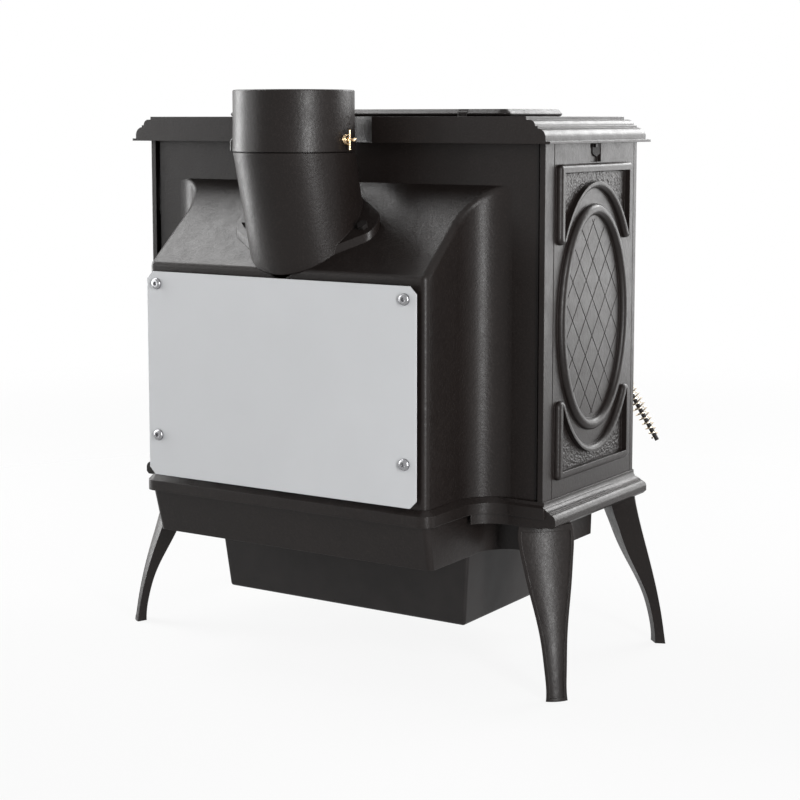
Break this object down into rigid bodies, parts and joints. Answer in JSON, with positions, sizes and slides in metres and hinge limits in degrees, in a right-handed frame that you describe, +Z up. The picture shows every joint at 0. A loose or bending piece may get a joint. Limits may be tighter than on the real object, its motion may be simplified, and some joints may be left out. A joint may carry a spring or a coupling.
{
  "type": "cast iron wood stove",
  "caption": "Free-standing cast iron wood stove with a glass door, top lid, ash drawer, rear smoke chamber, heat shield and flue outlet with damper.",
  "frame": {"origin": "on the floor, in the middle of the four feet", "axes": "+Z up, +Y to the rear where the flue is, -Y to the front where the door is, +X to the stove's hinge side"},
  "size_m": [0.7528, 0.5583, 0.8075],
  "materials": {
    "cast_iron": "satin black painted cast iron with a fine sand grain",
    "dark_steel": "black steel",
    "shield_sheet": "plain satin aluminised sheet",
    "bright_screws": "polished steel",
    "nickel_wire": "bright nickel plated wire",
    "brass_damper": "bright warm plated steel",
    "fire_brick": "rough refractory board",
    "rope_seal": "woven glass fibre rope",
    "door_glass": "clear ceramic glass"
  },
  "bodies": {
    "stove_body": {"top_plate": "cast_iron", "lid_hinge_pins": "dark_steel", "side_panel_left": "cast_iron", "side_panel_right": "cast_iron", "side_panel_clips": "dark_steel", "rear_casting": "cast_iron", "front_casting": "cast_iron", "base_casting": "cast_iron", "base_tray": "cast_iron", "ash_box": "dark_steel", "leg_rear_left": "cast_iron", "leg_rear_right": "cast_iron", "leg_front_left": "cast_iron", "leg_front_right": "cast_iron", "leg_studs": "dark_steel", "heat_shield": "shield_sheet", "shield_spacers": "dark_steel", "shield_screws": "bright_screws", "flue_boot": "cast_iron", "flue_collar": "cast_iron", "boot_bolts": "dark_steel", "door_hinge_pins": "dark_steel", "grate": "cast_iron", "firebrick_left": "fire_brick", "firebrick_right": "fire_brick", "firebrick_rear": "fire_brick", "baffle_board": "fire_brick"},
    "lid_body": {"lid": "cast_iron", "lid_rope_seal": "rope_seal"},
    "door_body": {"door_frame": "cast_iron", "door_glass": "door_glass", "glass_clips": "dark_steel", "door_rope_seal": "rope_seal"},
    "handle_body": {"handle_arm": "dark_steel", "handle_coil": "nickel_wire", "latch_cam": "dark_steel"},
    "drawer_body": {"ash_drawer": "dark_steel", "ash_drawer_pull": "nickel_wire"},
    "damper_body": {"damper_plate": "cast_iron", "damper_rod": "brass_damper", "damper_spring": "brass_damper"},
    "air_body": {"air_shutter": "dark_steel"}
  },
  "joints": [
    {"name": "lid_hinge", "type": "hinge", "parent": "stove_body", "child": "lid_body", "pos_m": [0, 0.085, 0.7763], "axis": [-1, 0, 0], "range_deg": [0, 75]},
    {"name": "door_hinge", "type": "hinge", "parent": "stove_body", "child": "door_body", "pos_m": [0.2796, -0.1809, 0.49], "axis": [0, 0, 1], "range_deg": [0, 110]},
    {"name": "handle_turn", "type": "hinge", "parent": "door_body", "child": "handle_body", "pos_m": [-0.24, -0.19, 0.43], "axis": [0, -1, 0], "range_deg": [0, 60]},
    {"name": "drawer_slide", "type": "slide", "parent": "stove_body", "child": "drawer_body", "axis": [0, -1, 0], "range_m": [0, 0.24]},
    {"name": "damper_turn", "type": "hinge", "parent": "stove_body", "child": "damper_body", "pos_m": [0, 0.248, 0.7412], "axis": [1, 0, 0], "range_deg": [0, 90]},
    {"name": "air_slide", "type": "slide", "parent": "stove_body", "child": "air_body", "axis": [1, 0, 0], "range_m": [0, 0.026]}
  ]
}
